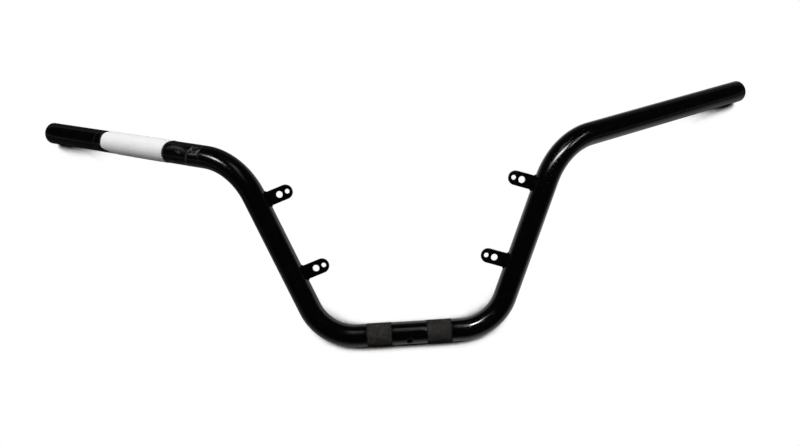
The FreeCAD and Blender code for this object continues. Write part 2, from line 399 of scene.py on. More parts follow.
def drilled_hole(surface, tube, rows, columns):
    """The skin round the drilled hole, its rounded rim, its wall and the bore's skin round it, as one closed strip.

    In the drill's frame a point is u along the bar, t across and h up the drill. On a wall of radius R, h is the root
    of R² - t². Outside, (u, t) runs straight from the edge of the cut-out in the grid to the rim, a quarter round.
    """
    steps, sides = columns * STEP, len(columns) - 2
    edge_u = np.concatenate([rows, np.full(sides, rows[-1]), rows[::-1], np.full(sides, rows[0])])
    ends = (np.full(len(rows), steps[0]), np.full(len(rows), steps[-1]))
    edge_a = np.concatenate([ends[0], steps[1:-1], ends[1], steps[-2:0:-1]]) - tube.hole_turn
    phase = np.arctan2(tube.radius * np.sin(edge_a), edge_u)
    bore, rim = tube.radius - tube.wall, tube.hole_rim

    def level(radius, share, hole):
        u = edge_u * (1 - share) + hole * np.cos(phase) * share
        t = radius * np.sin(edge_a) * (1 - share) + hole * np.sin(phase) * share
        return u, t, np.sqrt(radius ** 2 - t ** 2)

    levels = [level(tube.radius, share, tube.hole_radius + rim) for share in np.linspace(0, 1, STRIP_ROWS)]
    for bend in QUARTER_ROUND[1:]:
        u, t, h = level(tube.radius, 1.0, tube.hole_radius + rim * (1 - math.sin(bend)))
        levels.append((u, t, h - rim * (1 - math.cos(bend))))
    levels += [level(bore, share, tube.hole_radius) for share in np.linspace(1, 0, STRIP_ROWS)]
    u, t, h = (np.array(values) for values in zip(*levels))
    cos, sin = math.cos(tube.hole_turn), math.sin(tube.hole_turn)
    high, wide = h * cos - t * sin, h * sin + t * cos
    centre, heading, up, across = (value[0] for value in carried_frames(tube, np.zeros(1)))
    points = centre + u[..., None] * heading + high[..., None] * up + wide[..., None] * across
    worn = np.zeros(u.shape)
    worn[STRIP_ROWS + 1:STRIP_ROWS + len(QUARTER_ROUND) - 1] = 1.0
    surface.grid(points, wrap=True, lay=np.stack([u, high, wide], -1), mask=worn)


def tube_end(surface, tube, side):
    """The rounded outer edge, the cut face and the broken inner edge at one end, a profile turned about the axis."""
    bore, edge = tube.radius - tube.wall, tube.end_round
    back = np.concatenate([edge * (1 - np.sin(QUARTER_ROUND)), [0.0, 0.0, BORE_BREAK]])
    outer = tube.radius - edge * (1 - np.cos(QUARTER_ROUND))
    radius = np.concatenate([outer, [bore + BORE_LIP, bore + BORE_BREAK, bore]])
    worn = np.concatenate([np.linspace(0, 1, len(QUARTER_ROUND)), [1.0, 1.0, 0.6]])
    add_pipe(surface, tube, side * (half_length(tube) - back), ANGLES, radius[:, None], mask=worn[:, None])


def handlebar_surface(tube):
    """The whole tube: outer skin, knurled bands, ends, bore and drilled hole."""
    surface = Surface()
    bore, rows = tube.radius - tube.wall, tube_rows(tube)
    inner = BAND_SPACING / 2 - tube.band_length / 2 - tube.band_bevel
    cut = np.linspace(-PATCH, PATCH, PATCH_ROWS)
    middle = np.concatenate([[-inner, -PATCH_APRON], cut, [PATCH_APRON, inner]])
    columns = round(tube.hole_turn / STEP) + np.arange(-PATCH_COLUMNS, PATCH_COLUMNS + 1)
    span = np.ones((len(middle) - 1, AROUND), bool)
    span[2:PATCH_ROWS + 1, columns[:-1] % AROUND] = False
    for side in (-1, 1):
        add_pipe(surface, tube, side * rows, ANGLES, tube.radius)
        knurled_band(surface, tube, side * BAND_SPACING / 2)
        tube_end(surface, tube, side)
    add_pipe(surface, tube, middle, ANGLES, tube.radius, keep=span)
    drilled_hole(surface, tube, cut, columns)
    inside = np.concatenate([[inner], rows[:-1], [half_length(tube) - BORE_BREAK]])
    for side in (-1, 1):
        add_pipe(surface, tube, side * inside, ANGLES, bore, finish=BORE_FINISH)
    add_pipe(surface, tube, middle, ANGLES, bore, keep=span, finish=BORE_FINISH)
    return surface


# Tabs and weld beads

# Room between the big hole and the root grid, and the points across a tab, along its side and round its tip
HOLE_MARGIN = 0.0012
TAB_ACROSS, TAB_SIDE, TAB_TIP = 13, 11, 25
# The bead's curve, the mean and swing of its reach, and its ripples' uneven spacing, lag at the crown and height
WELD_CURVE, BEAD_MEAN, BEAD_SWING = 1.45, 0.92, 0.08
RIPPLE_UNEVEN, RIPPLE_LAG, RIPPLE_HEIGHT, RIPPLE_LEVEL = 0.15, 0.35, 0.09, 0.6


def tab_frame(level, side):
    """Place of the big hole, and directions out along the tab, across it and through it, from its two holes."""
    name = f"{level}_{side}_tab_"
    big, small = mount_place(name + "big_hole"), mount_place(name + "small_hole")
    out = (small - big) / np.linalg.norm(small - big)
    through = mount_axis(name + "big_hole")
    across = np.cross(through, out) * (1 if side == "right" else -1)
    return big, out, across, through


def placed(points, frame_of_tab, reach):
    """Points given out, across and through a tab, taken to the tab's place on the bar."""
    big, out, across, through = frame_of_tab
    x, y, z = points[..., 0:1] - reach, points[..., 1:2], points[..., 2:3]
    return big + x * out + y * across + z * through


def leg_skin(tube, tab, y, z):
    """Distance out along the tab at which a line at (y, z) meets the leg's round skin, leant by the tab's lean."""
    return (np.sqrt(tube.radius ** 2 - z ** 2) + y * math.sin(tab.lean)) / math.cos(tab.lean)


def ring_patch(outline, centre, radius, rows):
    """Flat strip from a closed outline to a circle: each row moves every point the same share of its way."""
    phase = np.arctan2(outline[:, 1], outline[:, 0] - centre)
    circle = np.stack([centre + radius * np.cos(phase), radius * np.sin(phase)], -1)
    share = np.linspace(0, 1, rows)[:, None, None]
    return outline * (1 - share) + circle * share, phase


def rounded_edge(thick, edge):
    """Profile from one face of a strip to the other through two quarter rounds: distance out, and height."""
    out, drop = edge * np.sin(QUARTER_ROUND), edge * (1 - np.cos(QUARTER_ROUND))
    return np.concatenate([out, out[::-1]]), np.concatenate([thick - drop, (drop - thick)[::-1]])


def line(x, y):
    """Flat points from their two coordinates."""
    return np.stack(np.broadcast_arrays(x, y), -1)


def tab_surface(tube, tab, frame_of_tab):
    """Strip tab with rounded edges, a full-radius tip, a shaped root and two holes.

    Each flat face is a root grid and two strips from outlines to hole circles. The edge is a half-round profile
    carried along the outline, and each hole's wall is a profile turned about the hole.
    """
    surface = Surface()
    half, thick, edge, rim = tab.width / 2, tab.thickness / 2, tab.edge_round, tab.hole_round
    inset, tip_centre = half - edge, tab.reach - half
    split = (tab.big_reach + tab.big_hole + tab.small_reach - tab.small_hole) / 2
    inner = tab.big_reach - tab.big_hole - (split - tab.big_reach - tab.big_hole) - HOLE_MARGIN
    y, sides = np.linspace(inset, -inset, TAB_ACROSS), np.linspace(inner, split, TAB_SIDE)
    arc = np.linspace(math.pi / 2, -math.pi / 2, TAB_TIP)
    tip, level = line(tip_centre + inset * np.cos(arc), inset * np.sin(arc)), line(split, y)
    big = np.concatenate([line(sides, inset), level[1:-1], line(sides[::-1], -inset), line(inner, y)[-2:0:-1]])
    small = np.concatenate([level[:1], tip, level[::-1][:-1]])
    holes = ((big, tab.big_reach, tab.big_hole), (small, tab.small_reach, tab.small_hole))
    patches = [(*ring_patch(outline, centre, radius + rim, 6), centre, radius) for outline, centre, radius in holes]

    def lay(x, y, z, **extra):
        points = np.stack(np.broadcast_arrays(x, y, z), -1)
        surface.grid(placed(points, frame_of_tab, tab.big_reach), lay=points, **extra)

    share = np.linspace(0, 1, 4)[:, None]
    for face in (thick, -thick):
        for patch, _, _, _ in patches:
            lay(patch[..., 0], patch[..., 1], face, wrap=True)
        lay(leg_skin(tube, tab, y, thick) * (1 - share) + inner * share, y, face)
    # Rounded outer edge, from the root up each side and round the tip
    out, z = rounded_edge(thick, edge)
    reach, worn = inset + out, np.sin(out / edge * math.pi / 2)
    for sign in (1, -1):
        run = leg_skin(tube, tab, sign * reach, z) * (1 - share[:-1]) + inner * share[:-1]
        run = np.concatenate([run, np.repeat(np.append(sides, tip_centre)[:, None], len(z), 1)])
        lay(run, sign * reach, z, mask=worn)
    lay(tip_centre + reach * np.cos(arc)[:, None], reach * np.sin(arc)[:, None], z, mask=worn)
    # Root face against the leg, between the two ends of the edge
    wide, deep = np.linspace(1, -1, TAB_ACROSS) * reach[:, None], z[:, None]
    lay(leg_skin(tube, tab, wide, deep), wide, deep)
    # Walls of the two holes
    out, z = (value[:, None] for value in rounded_edge(thick, rim))
    for _, phase, centre, radius in patches:
        reach = radius + rim - out
        lay(centre + reach * np.cos(phase), reach * np.sin(phase), z, wrap=True, mask=out / rim * 0.5)
    return surface


def weld_surface(tube, tab, frame_of_tab, seed):
    """Fillet bead round a tab's root.

    The path runs round the tab's section: straight on its four sides, fanning at its corners. Across the path, offset
    from the tab and height over the leg follow a quarter of a full curve, offset^m + height^m = reach^m, with m =
    1.45. The reach swells and shrinks along the path in overlapping ripples.
    """
    half, thick = tab.width / 2, tab.thickness / 2
    corners = np.array([(half, thick), (-half, thick), (-half, -thick), (half, -thick)])
    base, normal = [], []
    for index, corner in enumerate(corners):
        fan = np.linspace(0, math.pi / 2, 9) + math.pi / 2 * index
        share = np.linspace(0, 1, 7 if index % 2 else 26)[1:-1, None]
        base += [np.repeat([corner], len(fan), 0), corner * (1 - share) + corners[(index + 1) % 4] * share]
        normal.append(line(np.cos(fan), np.sin(fan)))
        normal.append(np.repeat(normal[-1][-1:], len(share), 0))
    base, normal = np.concatenate(base), np.concatenate(normal)
    middle = base + normal * tab.weld_leg / 2
    travel = np.concatenate([[0.0], np.cumsum(np.linalg.norm(np.diff(middle, axis=0), axis=1))])
    around, ripples = FULL_TURN * travel / travel[-1], round(travel[-1] / tab.weld_ripple)
    draw = np.random.default_rng(seed)
    phase = travel / travel[-1] * ripples + RIPPLE_UNEVEN * np.sin(around * 3 + draw.uniform(0, 6))
    waves = np.sin(around * np.array([[2.0], [3.0]]) + draw.uniform(0, 6, (2, 1)))
    swell = BEAD_MEAN + BEAD_SWING * waves.mean(0)
    across = np.linspace(0, 1, 11)[:, None]
    crown = np.sin(across * math.pi)
    ripple = np.sqrt(np.abs(np.sin(math.pi * ((phase[None] - RIPPLE_LAG * crown) % 1.0))))
    reach = tab.weld_leg * swell * (1 + RIPPLE_HEIGHT * (ripple - RIPPLE_LEVEL) * crown)
    offset = reach * np.cos(across * math.pi / 2) ** (2 / WELD_CURVE)
    height = reach * np.sin(across * math.pi / 2) ** (2 / WELD_CURVE)
    offset = np.concatenate([offset, np.zeros((2, len(base))), offset[:1]])
    height = np.concatenate([height, height[-1:] * 0.5, np.zeros((2, len(base)))])
    section = base + normal * offset[..., None]
    x = leg_skin(tube, tab, section[..., 0], section[..., 1]) + height
    points = np.concatenate([x[..., None], section], -1)
    surface = Surface()
    surface.grid(placed(points, frame_of_tab, tab.big_reach), wrap=True, lay=points)
    return surface


# Paper slip and clear tape on the left grip

# How far the slip runs inwards behind the grip, how its outer edge wavers, and how its inner edge draws back in front
SLIP_SKEW, SLIP_WAVER, SLIP_DRAW = 0.0045, 0.0003, 0.0012
# Where the slip comes free of one tape and goes under the other, from the grip's end
FREE_FROM, FREE_FULL, FREE_UNTIL, FREE_END = 0.112, 0.124, 0.150, 0.160
# Creases in the slip: place along the grip, slant, half width and share of the full height
SLIP_CREASES = ((0.128, -0.004, 0.0011, 1.0), (0.146, 0.003, 0.0009, 0.7))
BUCKLE_HEIGHT, CREASE_HEIGHT = 0.00022, 0.00016
# The curl of the slip's ends: height, reach, and where along the grip it is full and where it stops
CURL_HEIGHT, CURL_REACH, CURL_FULL, CURL_END = 0.00035, 0.0012, 0.12, 0.157
# The tape: turn and air of its lap, run of its step off the slip, radius on which folds are laid out, least lift
TAPE_LAP, LAP_CLEARANCE, TAPE_STEP, FILM_RADIUS, FILM_REST = 0.45, 0.00008, 0.0022, 0.0112, 0.00002
# Milkiness and fade of the film at its edges and at its end; the milkiness is partly the film's haze and partly
# painted glints
EDGE_MILK_GLINT, EDGE_FADE, END_MILK_GLINT, END_FADE = 0.15, 0.0003, 0.3, 0.0004

# Folds in the film: middle along the grip, turn from the top, slant, half length, half width, height, bow and
# milkiness, which is partly the crease's haze and partly painted glints
OUTBOARD_FOLDS = (
    (0.0755, 1.90, 0.50, 0.0060, 0.00040, 0.00025, 0.1, 0.35),
    (0.0770, -1.40, -0.70, 0.0050, 0.00040, 0.00020, -0.1, 0.30),
    (0.0745, 3.00, 0.20, 0.0050, 0.00050, 0.00030, 0.1, 0.40),
)
INBOARD_FOLDS = (
    (0.1951, -0.03, 2.03, 0.0050, 0.00040, 0.00045, 0.0, 0.60),
    (0.1919, 0.87, 1.76, 0.0060, 0.00040, 0.00040, 0.0, 0.35),
    (0.1908, 1.62, 1.62, 0.0030, 0.00070, 0.00120, 0.0, 0.60),
    (0.2008, 0.33, -0.06, 0.0060, 0.00040, 0.00030, 0.0, 0.85),
    (0.1973, -0.06, 0.90, 0.0013, 0.00045, 0.00040, 0.0, 1.00),
    (0.2050, 0.03, 0.40, 0.0014, 0.00045, 0.00040, 0.0, 1.00),
    (0.2058, -0.10, -0.90, 0.0012, 0.00040, 0.00035, 0.0, 0.90),
    (0.2012, -0.27, -0.50, 0.0024, 0.00035, 0.00040, 0.2, 0.50),
    (0.2030, 0.14, 0.80, 0.0020, 0.00030, 0.00030, 0.2, 0.55),
    (0.1995, 0.12, -0.70, 0.0022, 0.00030, 0.00030, -0.2, 0.45),
    (0.1795, -0.06, 0.05, 0.0110, 0.00100, 0.00022, -0.2, 0.28),
    (0.1831, 0.36, 0.25, 0.0022, 0.00045, 0.00025, 0.0, 0.45),
    (0.2050, -0.85, 1.50, 0.0028, 0.00060, 0.00080, 0.0, 0.40),
    (0.1900, 2.60, 0.90, 0.0080, 0.00050, 0.00040, 0.1, 0.50),
    (0.1960, -2.20, -0.60, 0.0070, 0.00050, 0.00035, -0.1, 0.45),
    (0.1780, 3.10, 1.30, 0.0080, 0.00050, 0.00030, 0.1, 0.35),
)


def grip_frame(tube):
    """Left grip's end, the way inwards along it, its top and its front, all square to each other."""
    centre, heading, _, _ = (value[0] for value in carried_frames(tube, np.array([-half_length(tube)])))
    top = np.array([0.0, 0.0, 1.0]) - heading * heading[2]
    top = top / np.linalg.norm(top)
    return centre, heading, top, np.cross(heading, top)


def on_grip(tube, along, angle, radius):
    """Point = end + along inwards + radius (cos angle top + sin angle front)."""
    end, inward, top, front = grip_frame(tube)
    along, angle, radius = (np.asarray(value)[..., None] for value in np.broadcast_arrays(along, angle, radius))
    return end + along * inward + radius * (np.cos(angle) * top + np.sin(angle) * front)


def smooth_step(low, high, value):
    """0 below low, 1 above high and an S-curve between."""
    share = np.clip((value - low) / (high - low), 0, 1)
    return share * share * (3 - 2 * share)


def slip_edges(wrap, angle):
    """Where the slip starts and ends along the grip at an angle: square, then slanted at its outboard front corner."""
    start = wrap.slip_start + wrap.corner_slope * np.maximum(angle - wrap.corner_turn, 0)
    behind = SLIP_SKEW * smooth_step(0.1, 1.3, -angle)
    start = start + behind + SLIP_WAVER * np.sin(2.3 * angle + 0.6)
    end = wrap.slip_start + wrap.slip_length + behind - SLIP_DRAW * smooth_step(-0.4, 0.8, angle)
    return start, end


def slip_lift(along, angle):
    """How far the paper stands off its even wrap: long soft buckles between the tapes and two faint creases."""
    free = smooth_step(FREE_FROM, FREE_FULL, along) * (1 - smooth_step(FREE_UNTIL, FREE_END, along))
    buckle = 0.5 + 0.5 * np.sin(210 * along + 2.2 * np.sin(1.6 * angle) + 1.0) * np.cos(1.1 * angle - 0.4)
    crease = sum(
        share * np.exp(-((along - place - slant * angle) / thin) ** 2) for place, slant, thin, share in SLIP_CREASES
    )
    return free * (BUCKLE_HEIGHT * buckle + CREASE_HEIGHT * crease)


def sheet_surface(tube, along, angle, inner, thickness, mask):
    """A thin sheet on the grip: grids at its inner radius and at its outer, joined round their edge."""
    surface = Surface()
    lay = np.stack(np.broadcast_arrays(along, angle * tube.radius, 0.0), -1)
    both = [on_grip(tube, along, angle, radius) for radius in (inner + thickness, inner)]
    for points in both:
        surface.grid(points, lay=lay, mask=mask)
    for edge in (np.s_[0, :], np.s_[:, -1], np.s_[-1, ::-1], np.s_[::-1, 0]):
        rim = np.stack([points[edge] for points in both])
        surface.grid(rim, lay=np.stack([lay[edge]] * 2), mask=mask[edge])
    return surface


def slip_surface(tube, wrap):
    """The paper slip: a part sleeve from its back edge over the top to its front edge, with ends that curl."""
    angle = np.linspace(-wrap.slip_back, wrap.slip_front, 121)[None]
    start, end = slip_edges(wrap, angle)
    along = start + np.linspace(0, 1, 141)[:, None] * (end - start)
    curl = CURL_HEIGHT * np.exp(-np.minimum(along - start, end - along) / CURL_REACH)
    curl = curl * smooth_step(0.5, 1.6, np.abs(angle))
    curl = curl * smooth_step(FREE_FROM, CURL_FULL, along) * (along < CURL_END)
    inner = tube.radius + wrap.slip_gap + slip_lift(along, angle) + curl
    return sheet_surface(tube, along, angle, inner, wrap.slip_thickness, np.zeros(along.shape))


def film_folds(along, angle, folds):
    """Height and milkiness of the film's pinched folds; the milkiness is partly haze and partly painted glints.

    A fold falls off on both sides of a slanted, bowed line and fades at its ends. Where folds meet, the larger holds.
    """
    height, milk_and_glint = (np.zeros(np.broadcast(along, angle).shape) for _ in range(2))
    for place, aim, slant, long, thin, tall, bow, fold_milk_glint in folds:
        a = along - place
        b = (((angle - aim) + math.pi) % FULL_TURN - math.pi) * FILM_RADIUS
        run = a * math.cos(slant) + b * math.sin(slant)
        off = -a * math.sin(slant) + b * math.cos(slant) + bow * run * run / long
        shape = np.exp(-np.abs(off) / thin) * np.exp(-(run / long) ** 4)
        height, milk_and_glint = np.maximum(height, tall * shape), np.maximum(milk_and_glint, fold_milk_glint * shape)
    return height, milk_and_glint


def tape_surface(tube, wrap, start, lap, folds):
    """One band of clear film wound once round the grip, with its end lapped over its beginning.

    Its radius follows the tube, or the slip where that lies under it, climbs by the film at the lap, and has pinched
    folds. The mask holds how milky the film is, partly haze and partly painted glints: most at its edges, lap and
    folds.
    """
    angle = np.linspace(lap, lap + FULL_TURN + TAPE_LAP, 221)[None]
    share = np.linspace(0, 1, 121)[:, None]
    wave = 0.0005 * np.sin(3 * angle + lap) + 0.0003 * np.sin(7 * angle)
    along = start + wave * (1 - 2 * share) + share * wrap.tape_width
    folded = (angle + math.pi) % FULL_TURN - math.pi
    slip_start, slip_end = slip_edges(wrap, folded)
    over = smooth_step(-TAPE_STEP, 0.0, along - slip_start) * (1 - smooth_step(0.0, TAPE_STEP, along - slip_end))
    over = over * smooth_step(-0.12, 0.0, folded + wrap.slip_back)
    over = over * (1 - smooth_step(0.0, 0.12, folded - wrap.slip_front))
    slip_top = wrap.slip_gap + slip_lift(along, folded) + wrap.slip_thickness
    pinch, fold_milk_glint = film_folds(along, angle, folds)
    second = smooth_step(FULL_TURN - 0.02, FULL_TURN + 0.02, angle - lap)
    base = np.maximum(FILM_REST, over * slip_top) + wrap.tape_gap
    inner = tube.radius + base + pinch + second * (wrap.tape_thickness + LAP_CLEARANCE)
    rim = np.minimum(share, 1 - share) * wrap.tape_width
    from_end = np.abs(angle - lap - FULL_TURN - TAPE_LAP) * tube.radius
    # Milkiness at the edges, end, lap and folds: partly the film's own haze, partly painted glints
    edges = np.maximum(EDGE_MILK_GLINT * np.exp(-rim / EDGE_FADE), END_MILK_GLINT * np.exp(-from_end / END_FADE))
    milk_and_glint = np.maximum.reduce([edges, fold_milk_glint, over * (1 - over)]) * (1 - 0.95 * smooth_step(0.6, 1.0, over))
    return sheet_surface(tube, along, angle, inner, wrap.tape_thickness, milk_and_glint)


# Materials

TUBE_PEEL, TAB_PEEL = 240.0, 900.0
PAPER_SOIL = (0.62, 0.58, 0.55)
BLACK, WHITE = (0.0, 0.0, 0.0), (1.0, 1.0, 1.0)


class Nodes:
    """A node tree under construction. Most methods add one node and give its output."""

    def __init__(self, tree):
        self.tree = tree

    def feed(self, node, inputs):
        """Sets or links a node's inputs by name or number. A colour may leave out its alpha."""
        for key, value in inputs.items():
            socket = node.inputs[key]
            if isinstance(value, bpy.types.NodeSocket):
                self.tree.links.new(value, socket)
            else:
                socket.default_value = (*value, 1.0) if socket.type == "RGBA" else value

    def add(self, kind, inputs=None, **settings):
        """Adds a shader node, sets its properties and feeds its inputs; gives its outputs."""
        made = self.tree.nodes.new("ShaderNode" + kind)
        for key, value in settings.items():
            setattr(made, key, value)
        self.feed(made, inputs or {})
        return made.outputs

    def maths(self, operation, first, second=0.0, clamp=False):
        """The result of one Math node."""
        return self.add("Math", {0: first, 1: second}, operation=operation, use_clamp=clamp)[0]

    def times(self, first, second):
        """Two values multiplied."""
        return self.maths("MULTIPLY", first, second)

    def ramp(self, value, low, high, to_low=0.0, to_high=1.0):
        """A value taken from one range to another, held at both ends."""
        inputs = {"Value": value, "From Min": low, "From Max": high, "To Min": to_low, "To Max": to_high}
        return self.add("MapRange", inputs)["Result"]

    def noise(self, vector, scale, detail, roughness):
        """A noise value at a scale in cells a metre."""
        inputs = {"Vector": vector, "Scale": scale, "Detail": detail, "Roughness": roughness}
        return self.add("TexNoise", inputs)["Fac"]

    def blend(self, share, first, second):
        """Two colours mixed by a share. The Mix node's colour sockets are 6 and 7, and its colour output is 2."""
        return self.add("Mix", {0: share, 6: first, 7: second}, data_type="RGBA")[2]

    def lay(self):
        """Where a point lies on the piece before it is bent or wrapped, from the piece's own mesh."""
        return self.add("Attribute", attribute_name="lay")["Vector"]

    def mask(self):
        """The wear, knurl height, or film milkiness with painted glints, that the piece's own mesh carries."""
        return self.add("Attribute", attribute_name="mask")["Fac"]

    def bump(self, height, strength, distance):
        """A normal from a height."""
        return self.add("Bump", {"Height": height, "Strength": strength, "Distance": distance})["Normal"]

    def group(self, name, vector, size):
        """The outputs of a shared group, placed with its own size. It is built the first time it is asked for."""
        label, fill = GROUPS[name]
        tree = bpy.data.node_groups.get(name)
        if tree is None:
            tree = bpy.data.node_groups.new(name, "ShaderNodeTree")
            tree.interface.new_socket(name="Vector", in_out="INPUT", socket_type="NodeSocketVector")
            tree.interface.new_socket(name=label, in_out="INPUT", socket_type="NodeSocketFloat")
            nodes, start = Nodes(tree), tree.nodes.new("NodeGroupInput").outputs
            found = fill(nodes, start["Vector"], start[label])
            for output in found:
                tree.interface.new_socket(name=output, in_out="OUTPUT", socket_type="NodeSocketFloat")
            nodes.feed(tree.nodes.new("NodeGroupOutput"), found)
        return self.add("Group", {"Vector": vector, label: size}, node_tree=tree)


def paint_skin(nodes, vector, peel):
    """Spray paint's skin: fine orange peel as a height, and broad handling smudges as a value."""
    broad = nodes.ramp(nodes.noise(vector, 42.0, 4.0, 0.6), 0.42, 0.68)
    patch = nodes.ramp(nodes.noise(vector, 11.0, 2.0, 0.5), 0.4, 0.62)
    return {"Height": nodes.noise(vector, peel, 2.0, 0.45), "Smudge": nodes.times(broad, patch)}


def dust(nodes, vector, specks):
    """Dust: small scattered specks and a thin film, more of both on what faces up."""
    cells = nodes.add("TexVoronoi", {"Vector": vector, "Scale": specks})
    size = nodes.ramp(nodes.add("SeparateColor", {"Color": cells["Color"]})["Red"], 0.80, 1.0, 0.0, 0.22)
    speck = nodes.ramp(nodes.maths("SUBTRACT", cells["Distance"], size), -0.05, 0.0, 1.0, 0.0)
    film = nodes.ramp(nodes.noise(vector, 95.0, 5.0, 0.65), 0.5, 0.78, 0.0, 0.3)
    normal = nodes.add("NewGeometry")["Normal"]
    up = nodes.ramp(nodes.add("SeparateXYZ", {"Vector": normal})["Z"], -0.1, 0.9)
    return {"Mask": nodes.times(nodes.maths("MAXIMUM", speck, film), up)}


def scratches(nodes, vector, stretch):
    """Hairline scratches: thin contour lines of a noise drawn out along the first axis, kept in a few patches."""
    scale = nodes.add("CombineXYZ", {"X": stretch, "Y": 1.0, "Z": 1.0})[0]
    drawn = nodes.add("VectorMath", {0: vector, 1: scale}, operation="MULTIPLY")["Vector"]
    lines = nodes.maths("ABSOLUTE", nodes.maths("SUBTRACT", nodes.noise(drawn, 260.0, 1.0, 0.4), 0.5))
    patch = nodes.ramp(nodes.noise(vector, 24.0, 2.0, 0.5), 0.55, 0.66)
    return {"Mask": nodes.times(nodes.ramp(lines, 0.0, 0.006, 1.0, 0.0), patch)}


GROUPS = {"Paint Skin": ("Peel", paint_skin), "Dust": ("Specks", dust), "Scratches": ("Stretch", scratches)}


def new_material(name):
    """A material with a Principled shader; gives the material, its nodes and the shader."""
    material = bpy.data.materials.new(name)
    material.use_nodes = True
    return material, Nodes(material.node_tree), material.node_tree.nodes["Principled BSDF"]


def dimmed(shade, share):
    """A share of a colour."""
    return tuple(share * value for value in shade)


def gloss_paint(name, finishes, peel):
    """Gloss black paint: orange peel, smudges, dust, hairlines, and bare steel where edges are worn."""
    material, nodes, shader = new_material(name)
    lay = nodes.lay()
    skin = nodes.group("Paint Skin", lay, peel)
    dusty, hairline = nodes.group("Dust", lay, 420.0)["Mask"], nodes.group("Scratches", lay, 0.06)["Mask"]
    chips = nodes.ramp(nodes.noise(lay, 520.0, 4.0, 0.6), 0.53, 0.6)
    worn = nodes.times(nodes.ramp(nodes.mask(), 0.55, 1.0), chips)
    faint = nodes.maths("MAXIMUM", nodes.times(dusty, 0.035), nodes.times(hairline, 0.05))
    base = nodes.blend(faint, finishes.paint, finishes.dust)
    clean = finishes.paint_roughness
    rough = nodes.ramp(skin["Smudge"], 0.0, 1.0, clean, clean + 0.05)
    rough = nodes.maths("ADD", rough, nodes.times(dusty, 0.03))
    nodes.feed(shader, {
        "Base Color": nodes.blend(worn, base, finishes.steel),
        "Roughness": nodes.maths("ADD", rough, nodes.times(hairline, 0.05), clamp=True),
        "Metallic": worn,
        "Sheen Weight": 0.05,
        "Sheen Roughness": 0.25,
        "Normal": nodes.bump(skin["Height"], 0.03, 0.0001),
    })
    return material


def knurl_paint(finishes):
    """Thin dull paint on the knurl: rubbed grey on the peaks, and dark in the grooves, partly painted shade in the
    recesses.
    """
    material, nodes, shader = new_material("knurl_paint")
    lay = nodes.lay()
    rub = nodes.noise(lay, 180.0, 3.0, 0.6)
    cells = nodes.add("TexVoronoi", {"Vector": lay, "Scale": 430.0})["Color"]
    tooth = nodes.add("SeparateColor", {"Color": cells})["Red"]
    # Grey peaks and dark grooves by the knurl's height: rubbed paint on the peaks, partly painted shade in the grooves
    peak = nodes.times(nodes.ramp(nodes.mask(), 0.55, 1.0), nodes.ramp(rub, 0.3, 0.65, 0.68, 1.1))
    peak = nodes.times(peak, nodes.ramp(tooth, 0.1, 0.9, 0.7, 1.0))
    base = nodes.blend(peak, finishes.knurl, finishes.knurl_peak)
    dusty = nodes.times(nodes.group("Dust", lay, 900.0)["Mask"], 0.1)
    nodes.feed(shader, {
        "Base Color": nodes.blend(dusty, base, finishes.dust),
        "Roughness": nodes.ramp(rub, 0.3, 0.7, 0.36, 0.6),
        "Specular IOR Level": 0.0,
        "Normal": nodes.bump(nodes.noise(lay, 2600.0, 2.0, 0.5), 0.3, 0.00008),
    })
    return material


def bore_steel(finishes):
    """Oiled bare steel inside the tube, with drawn lines and brown stains."""
    material, nodes, shader = new_material("bore_steel")
    lay = nodes.lay()
    stain = nodes.ramp(nodes.noise(lay, 60.0, 5.0, 0.65), 0.4, 0.7)
    base = nodes.blend(stain, finishes.bore, dimmed(finishes.bore, 0.5))
    nodes.feed(shader, {
        "Base Color": nodes.blend(nodes.group("Scratches", lay, 0.03)["Mask"], base, finishes.steel),
        "Roughness": nodes.ramp(stain, 0.0, 1.0, 0.42, 0.62),
        "Metallic": 0.7,
        "Normal": nodes.bump(stain, 0.2, 0.0002),
    })
    return material


def slip_paper(finishes):
    """Plain writing paper: fine fibres, soft mottling and a little soiling."""
    material, nodes, shader = new_material("slip_paper")
    lay, dim = nodes.lay(), dimmed(finishes.paper, 0.80)
    fibre = nodes.noise(lay, 1500.0, 4.0, 0.7)
    mottle = nodes.ramp(nodes.noise(lay, 70.0, 4.0, 0.6), 0.3, 0.75, 0.0, 0.2)
    soil = nodes.ramp(nodes.noise(lay, 30.0, 5.0, 0.7), 0.55, 0.8, 0.0, 0.16)
    base = nodes.blend(mottle, finishes.paper, dim)
    base = nodes.blend(nodes.times(nodes.ramp(fibre, 0.45, 0.7), 0.12), base, dim)
    nodes.feed(shader, {
        "Base Color": nodes.blend(soil, base, PAPER_SOIL),
        "Roughness": nodes.ramp(fibre, 0.2, 0.8, 0.82, 0.96),
        "Specular IOR Level": 0.25,
        "Normal": nodes.bump(fibre, 0.25, 0.00006),
    })
    return material


def clear_tape(finishes):
    """Clear glossy film with finger smears: nearly invisible where flat, milky with painted glints at edges, lap and
    folds.
    """
    material, nodes, shader = new_material("clear_tape")
    lay = nodes.lay()
    smear = nodes.noise(lay, 120.0, 4.0, 0.6)
    broken = nodes.ramp(nodes.noise(lay, 800.0, 3.0, 0.6), 0.36, 0.62, 0.06, 0.22)
    # The mask's milkiness, partly the film's haze and partly painted glints, shows as white through the alpha
    milk_and_glint = nodes.times(nodes.mask(), broken)
    nodes.feed(shader, {
        "Base Color": nodes.blend(smear, finishes.tape, dimmed(finishes.tape, 0.92)),
        "Alpha": nodes.maths("ADD", milk_and_glint, nodes.ramp(smear, 0.5, 0.8, 0.0, 0.0015), clamp=True),
        "Roughness": nodes.ramp(smear, 0.3, 0.75, 0.08, 0.22),
        "Normal": nodes.bump(nodes.noise(lay, 260.0, 2.0, 0.5), 0.25, 0.0002),
    })
    return material


# Stage

FLOOR_RADIUS, FLOOR_SIDES, FLOOR_DROP = 30.0, 64, 0.0001
POOL_MIDDLE = (0.12, 0.0, 0.0)
